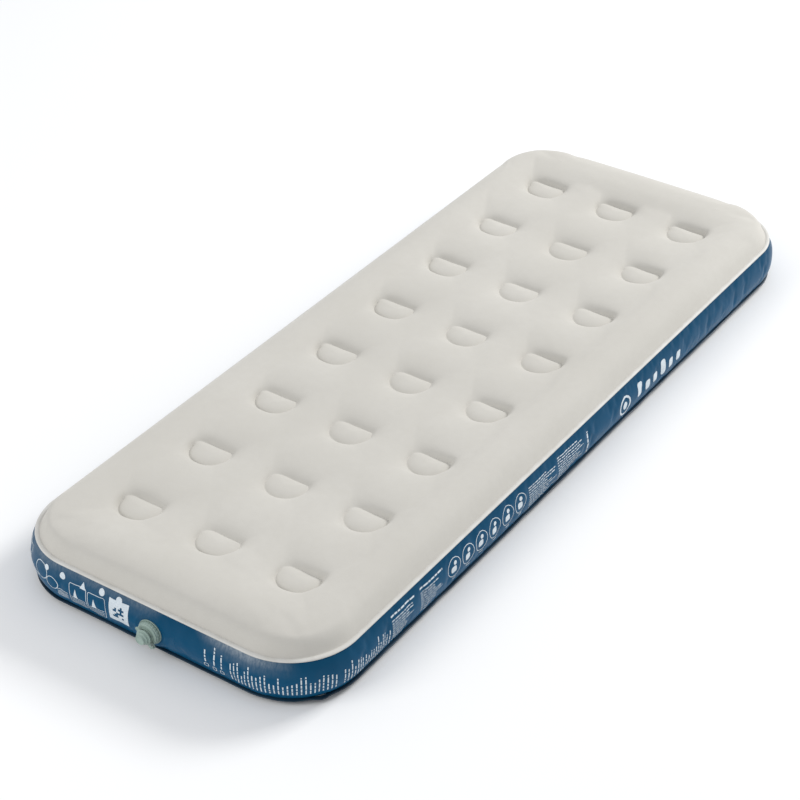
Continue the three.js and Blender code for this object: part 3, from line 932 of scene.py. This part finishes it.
def speckled_plate(marks, s, z, seed):
    """A filled plate with a square of random open cells in its middle."""
    width, cells, pitch = 0.046, 6, 0.0043
    square = cells * pitch
    margin = (width - square) / 2
    for side in (-1, 1):
        marks.block(s + side * (square + margin) / 2, z, margin, width)
        marks.block(s, z + side * (square + margin) / 2, square, margin)
    filled = np.random.default_rng(seed).random((cells, cells)) < 0.5
    for row, column in zip(*np.nonzero(filled)):
        along, up = (column - cells / 2 + 0.5) * pitch, (row - cells / 2 + 0.5) * pitch
        marks.block(s + along, z + up, pitch, pitch)

def prints(band_piece):
    tree = BVHTree.FromObject(band_piece, bpy.context.evaluated_depsgraph_get())
    front = Prints("prints_front")
    speckled_plate(front, -0.070, 0.0600, 7)
    for s, z in ((-0.070, 0.0845), (-0.112, 0.0840), (-0.206, 0.0800)):
        front.disc(s, z, 0.0068)
    front.block(-0.156, 0.0800, 0.015, 0.014, 0.0, 1.0)
    scene_frame(front, -0.124, 0.0500)
    scene_frame(front, -0.168, 0.0530)
    front.outline(-0.232, 0.0540, 0.026, 0.026, 0.0128, 0.0014)
    front.block(-0.208, 0.0460, 0.028, 0.0016)
    for k in range(4):
        front.block(-0.208, 0.0410 - 0.0032 * k, 0.026, 0.0013)
    front.outline(-0.262, 0.0660, 0.036, 0.034, 0.0165, 0.0014)
    front.disc(-0.246, 0.0800, 0.0055)
    front.block(-0.285, 0.0480, 0.034, 0.0016)
    front.outline(-0.330, 0.0600, 0.036, 0.044, 0.006, 0.0014)
    front.block(-0.330, 0.0600, 0.016, 0.005, 0.002)
    for column, s in enumerate((0.131, 0.151, 0.168)):
        front.outline(s, 0.035, 0.008, 0.008, 0.002, 0.0014)
        front.text(s - 0.003, s + 0.003, 0.044, 0.078 + 0.005 * (column == 1), 1, 20 + column, upright=True)
    columns = np.random.default_rng(40)
    for k in range(26):
        s = 0.186 + 0.0075 * k
        front.text(s, s + 0.0055, 0.028, columns.uniform(0.054, 0.080), 1, 50 + k, upright=True, stroke=0.42)
    front.lay(tree)

    side = Prints("prints_side")
    for k in range(18):
        s = side_place(-0.842 + 0.0075 * k)
        side.text(s, s + 0.0055, 0.028, columns.uniform(0.050, 0.086), 1, 80 + k, upright=True, stroke=0.42)
    for start, end, seed in ((-0.704, -0.618, 32), (-0.610, -0.530, 33)):
        left, right = side_place(start), side_place(end)
        side.text(left, right, 0.0800, 0.0862, 1, seed)
        side.text(left, right - 0.012, 0.028, 0.0770, 9, seed + 10, stroke=0.36, ragged=0.5)
    for k in range(6):
        s = side_place(-0.500 + 0.047 * k)
        side.outline(s, 0.064, 0.040, 0.040, 0.0198, 0.0013)
        side.block(s - 0.002, 0.060, 0.016, 0.013, 0.004)
        side.disc(s + 0.003, 0.0725, 0.0045)
        side.block(s, 0.0385, 0.012, 0.002)
    side.text(side_place(-0.232), side_place(-0.130), 0.028, 0.080, 10, 34, stroke=0.36, ragged=0.35)
    side.text(side_place(-0.122), side_place(-0.024), 0.028, 0.084, 10, 35, stroke=0.36, ragged=0.35)
    side.text(side_place(-0.010), side_place(0.000), 0.028, 0.086, 1, 36, upright=True)
    side.outline(side_place(0.148), 0.056, 0.040, 0.040, 0.0198, 0.0050)
    side.disc(side_place(0.148), 0.056, 0.0085)
    for k, height in enumerate((0.034, 0.022, 0.022, 0.034, 0.022, 0.022)):
        side.block(side_place(0.210 + 0.034 * k), 0.045 + height / 2, 0.019, height, 0.006)
    side.lay(tree)

# ---- materials --------------------------------------------------------------------------------------------
class Look:
    """A material's node tree with short calls for the nodes used here. Textures read object coordinates."""

    def __init__(self, name):
        self.material = bpy.data.materials.new(name)
        self.material.use_nodes = True
        self.tree = self.material.node_tree
        self.shader = self.tree.nodes["Principled BSDF"]
        self.place = self.tree.nodes.new("ShaderNodeTexCoord").outputs["Object"]

    def node(self, kind, **settings):
        made = self.tree.nodes.new("ShaderNode" + kind)
        for key, value in settings.items():
            setattr(made, key, value)
        return made

    def link(self, output, node, socket):
        self.tree.links.new(output, node.inputs[socket])

    def noise(self, scale, detail, roughness=0.5, stretch=None):
        made = self.node("TexNoise")
        made.inputs["Scale"].default_value = scale
        made.inputs["Detail"].default_value = detail
        made.inputs["Roughness"].default_value = roughness
        if stretch:
            mapping = self.node("Mapping")
            mapping.inputs["Scale"].default_value = stretch
            self.link(self.place, mapping, "Vector")
            self.link(mapping.outputs[0], made, "Vector")
        else:
            self.link(self.place, made, "Vector")
        return made.outputs["Fac"]

    def ramp(self, value, *stops):
        made = self.node("ValToRGB")
        elements = made.color_ramp.elements
        while len(elements) < len(stops):
            elements.new(0.5)
        for element, (position, colour) in zip(elements, stops):
            element.position = position
            element.color = (*colour, 1) if hasattr(colour, "__len__") else (colour, colour, colour, 1)
        self.link(value, made, "Fac")
        return made.outputs["Color"]

    def coordinate(self, axis):
        split = self.node("SeparateXYZ")
        self.link(self.place, split, "Vector")
        return split.outputs[axis]

    def product(self, a, b):
        made = self.node("Math", operation="MULTIPLY")
        for socket, value in enumerate((a, b)):
            if isinstance(value, bpy.types.NodeSocket):
                self.tree.links.new(value, made.inputs[socket])
            else:
                made.inputs[socket].default_value = value
        return made.outputs[0]

    def mix(self, factor, a, b):
        made = self.node("Mix", data_type="RGBA")
        for socket, value in ((0, factor), (6, a), (7, b)):
            if isinstance(value, bpy.types.NodeSocket):
                self.tree.links.new(value, made.inputs[socket])
            else:
                made.inputs[socket].default_value = value if socket == 0 else (*value, 1)
        return made.outputs[2]

    def bump(self, height, distance, strength, under=None):
        made = self.node("Bump")
        made.inputs["Strength"].default_value = strength
        made.inputs["Distance"].default_value = distance
        self.link(height, made, "Height")
        if under:
            self.link(under, made, "Normal")
        return made.outputs["Normal"]

    def set(self, **values):
        for key, value in values.items():
            socket = self.shader.inputs[key.replace("_", " ")]
            if isinstance(value, bpy.types.NodeSocket):
                self.tree.links.new(value, socket)
            else:
                socket.default_value = (*value, 1) if hasattr(value, "__len__") else value
        return self.material

def flock():
    look = Look("cream_flock")
    broad = look.noise(5.0, 3.0)
    nap = look.noise(55.0, 5.0, 0.6)
    fibre = look.noise(1500.0, 2.0, 0.7)
    colour = look.ramp(broad, (0.3, (0.505, 0.484, 0.432)), (0.7, (0.545, 0.524, 0.472)))
    colour = look.mix(look.ramp(nap, (0.35, 0.0), (0.75, 0.35)), colour, (0.478, 0.456, 0.404))
    colour = look.mix(look.ramp(fibre, (0.3, 0.0), (0.8, 0.5)), colour, (0.61, 0.596, 0.562))
    normal = look.bump(nap, 0.0006, 0.25)
    normal = look.bump(fibre, 0.00035, 0.35, normal)
    look.set(Sheen_Weight=0.25, Sheen_Roughness=0.45, Sheen_Tint=(0.95, 0.93, 0.88), Specular_IOR_Level=0.15)
    return look.set(Base_Color=colour, Roughness=0.95, Normal=normal)

def pale_pvc():
    look = Look("pale_weld")
    wear = look.noise(40.0, 4.0)
    grain = look.noise(900.0, 2.0)
    colour = look.ramp(wear, (0.35, (0.56, 0.545, 0.50)), (0.7, (0.62, 0.61, 0.575)))
    return look.set(Base_Color=colour, Roughness=0.55, Normal=look.bump(grain, 0.0002, 0.3))

def painted_seam_highlight(look, colour, height):
    """Painted highlight: whitish gloss painted into the film's colour in fine upright streaks just under the
    top seam of the valve end.
    """
    towards_valve = look.product(look.coordinate("Y"), -1.0)
    valve_end = look.ramp(towards_valve, (HALF_Y - 0.03, 0.0), (HALF_Y - 0.012, 1.0))
    near_seam = look.ramp(height, (0.60, 0.0), (0.80, 0.25), (0.97, 1.0))
    patches = look.ramp(look.noise(5.0, 1.0, 0.5, stretch=(1, 1, 0.2)), (0.42, 0.0), (0.60, 1.0))
    streaks = look.ramp(look.noise(16.0, 4.0, 0.7, stretch=(14, 14, 0.6)), (0.30, 0.35), (0.70, 1.0))
    amount = look.product(look.product(near_seam, valve_end), look.product(patches, streaks))
    # the pale colour mixed in here is the painted highlight
    return look.mix(look.product(amount, 0.75), colour, (0.50, 0.53, 0.54))

def blue_pvc():
    """Satin film whose colour is painted lighter towards the floor and darker under the top seam as painted
    shade, with a painted highlight under the top seam of the valve end and the faint ring of the weld round
    the valve.
    """
    look = Look("blue_pvc")
    broad = look.noise(6.0, 3.0)
    streak = look.noise(9.0, 5.0, 0.65, stretch=(26, 26, 1.4))
    grain = look.noise(1100.0, 2.0)
    span = look.node("MapRange")
    span.inputs["From Min"].default_value = SEAM_BOTTOM
    span.inputs["From Max"].default_value = SEAM_TOP
    look.link(look.coordinate("Z"), span, "Value")
    height = span.outputs["Result"]
    # painted shade: the band's colour goes from lighter at the floor to darker under the top seam
    colour = look.ramp(height, (0.05, (0.0045, 0.092, 0.200)), (0.95, (0.0025, 0.050, 0.108)))
    colour = look.mix(look.ramp(broad, (0.3, 0.0), (0.7, 0.35)), colour, (0.0035, 0.066, 0.142))
    # painted highlight in streaks under the top seam of the valve end
    colour = painted_seam_highlight(look, colour, height)
    roughness = look.ramp(streak, (0.3, 0.26), (0.7, 0.40))
    normal = look.bump(streak, 0.0003, 0.10)
    normal = look.bump(grain, 0.0001, 0.25, normal)
    distance = look.node("VectorMath", operation="DISTANCE")
    look.link(look.place, distance, 0)
    distance.inputs[1].default_value = VALVE
    ring = look.ramp(distance.outputs["Value"], (0.0345, 0.0), (0.0352, 1.0), (0.0366, 1.0), (0.0373, 0.0))
    normal = look.bump(ring, 0.0004, 0.8, normal)
    look.set(Specular_IOR_Level=0.09)
    return look.set(Base_Color=colour, Roughness=roughness, Normal=normal)

def navy_pvc():
    look = Look("navy_pvc")
    broad = look.noise(9.0, 4.0)
    grain = look.noise(1000.0, 2.0)
    colour = look.ramp(broad, (0.3, (0.006, 0.020, 0.036)), (0.7, (0.009, 0.034, 0.060)))
    look.set(Specular_IOR_Level=0.35)
    return look.set(Base_Color=colour, Roughness=look.ramp(broad, (0.3, 0.35), (0.7, 0.5)),
                    Normal=look.bump(grain, 0.0002, 0.3))

def inner_pvc():
    look = Look("inner_pvc")
    grain = look.noise(300.0, 3.0)
    colour = look.ramp(grain, (0.3, (0.02, 0.045, 0.09)), (0.7, (0.03, 0.06, 0.11)))
    return look.set(Base_Color=colour, Roughness=0.5, Normal=look.bump(grain, 0.0003, 0.3))

def valve_plastic(name="valve_plastic", colour=(0.300, 0.395, 0.345)):
    look = Look(name)
    cloud = look.noise(70.0, 3.0)
    grain = look.noise(1800.0, 2.0)
    darker = tuple(0.86 * c for c in colour)
    return look.set(Base_Color=look.ramp(cloud, (0.3, darker), (0.7, colour)), Roughness=0.42,
                    Normal=look.bump(grain, 0.0001, 0.3))

def soft_rubber():
    return valve_plastic("soft_rubber", (0.215, 0.295, 0.255))

def ink():
    look = Look("print_ink")
    wear = look.noise(500.0, 3.0)
    return look.set(Base_Color=look.ramp(wear, (0.3, (0.50, 0.57, 0.62)), (0.6, (0.66, 0.72, 0.75))),
                    Roughness=0.5, Normal=look.bump(wear, 0.00005, 0.3))

# ---- stage ------------------------------------------------------------------------------------------------
def add_stage():
    look = Look("floor")
    look.set(Base_Color=(0.86, 0.86, 0.85), Roughness=0.95, Specular_IOR_Level=0.1)
    size = 40
    floor = mesh_object("floor", [(-size, -size, 0), (size, -size, 0), (size, size, 0), (-size, size, 0)],
                        [(0, 1, 2, 3)], look.material)
    floor.location.z = -0.0005

def area_light(name, place, aim, size, power):
    light = bpy.data.objects.new(name, bpy.data.lights.new(name, "AREA"))
    bpy.context.scene.collection.objects.link(light)
    light.data.shape = "RECTANGLE"
    light.data.size, light.data.size_y = size
    light.data.energy = power
    light.location = place
    light.rotation_mode = "QUATERNION"
    light.rotation_quaternion = (Vector(aim) - Vector(place)).to_track_quat("-Z", "Y")

def add_lights():
    world = bpy.data.worlds.new("studio")
    bpy.context.scene.world = world
    world.use_nodes = True
    background = world.node_tree.nodes["Background"]
    background.inputs["Color"].default_value = (0.93, 0.95, 1.0, 1)
    background.inputs["Strength"].default_value = 0.68
    area_light("key", (2.6, 6.6, 4.6), (0, 0, 0), (3.0, 2.0), 560)
    area_light("front", (-2.2, -4.6, 3.4), (0, -0.6, 0), (3.0, 2.0), 110)
    bpy.context.scene.view_settings.view_transform = "Standard"

# ---- build ------------------------------------------------------------------------------------------------
add_camera()
add_lights()
add_stage()
top_sheet()
band = side_band()
prints(band)
weld_lips()
bottom_sheet()
coil_beams()
valve()
